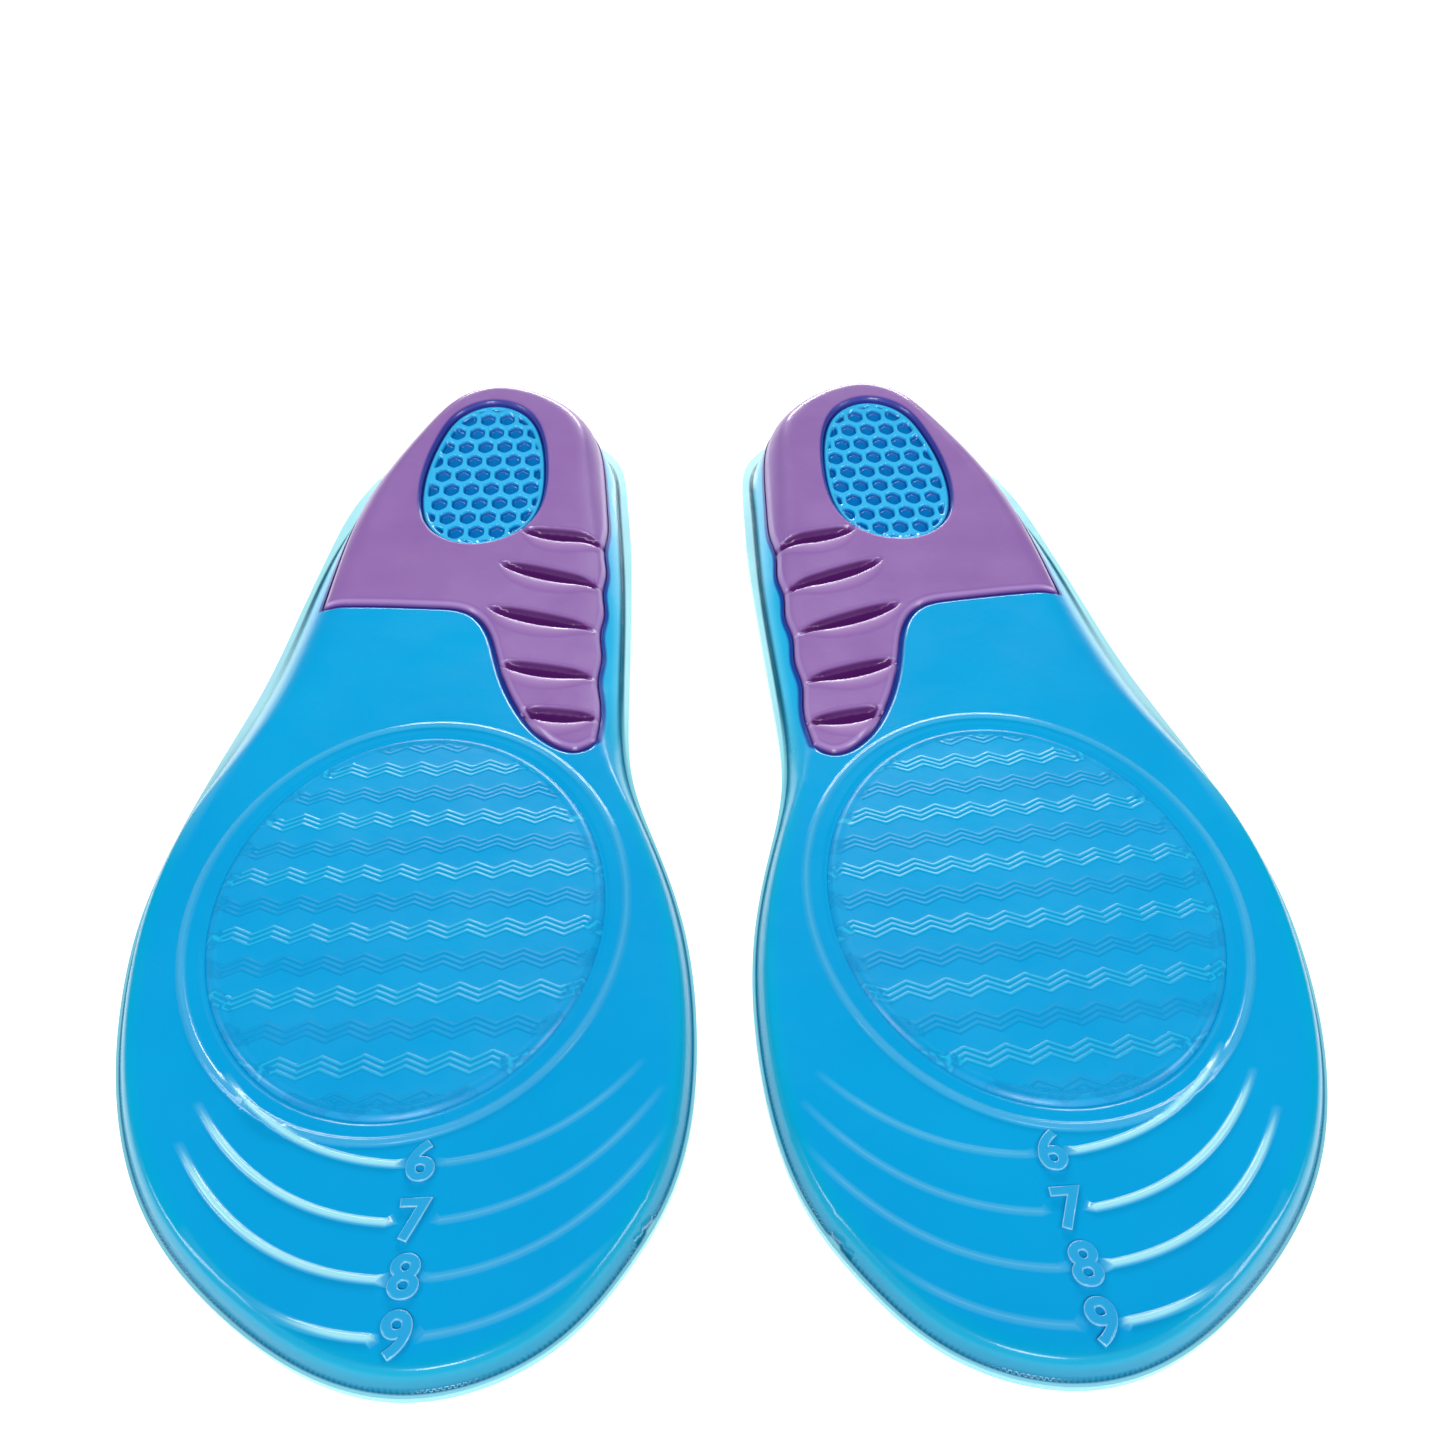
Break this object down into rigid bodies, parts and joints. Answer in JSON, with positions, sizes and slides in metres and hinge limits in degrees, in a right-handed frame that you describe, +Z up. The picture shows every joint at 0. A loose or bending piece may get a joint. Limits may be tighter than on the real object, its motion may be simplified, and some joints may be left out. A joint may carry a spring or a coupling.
{
  "type": "cushioned insole pair",
  "caption": "Left and right gel insoles lying sole side up, with heel cups, firmer arch shells, honeycomb heel cushions, ribbed ball pads and fabric covers.",
  "frame": {"origin": "middle of the pair's bounding box, on the surface that the insoles lie on", "axes": "+X from the left insole to the right one, +Y from the toes to the heels, +Z up; both insoles lie with the foot side down"},
  "size_m": [0.2048, 0.2632, 0.021],
  "materials": {
    "gel_base": "clear blue soft gel, glossy",
    "arch_support": "purple firmer gel, satin",
    "heel_cushion": "clear blue soft gel, glossy",
    "ball_cushion": "clear blue soft gel, glossy",
    "top_cover": "knitted polyester"
  },
  "bodies": {
    "left_insole": {"left_gel_base": "gel_base", "left_arch_support": "arch_support", "left_heel_cushion": "heel_cushion", "left_ball_cushion": "ball_cushion", "left_top_cover": "top_cover"},
    "right_insole": {"right_gel_base": "gel_base", "right_arch_support": "arch_support", "right_heel_cushion": "heel_cushion", "right_ball_cushion": "ball_cushion", "right_top_cover": "top_cover"}
  },
  "joints": [
    {"name": "pair_spacing", "type": "slide", "parent": "left_insole", "child": "right_insole", "axis": [1, 0, 0], "range_m": [-0.006, 0.06]}
  ]
}
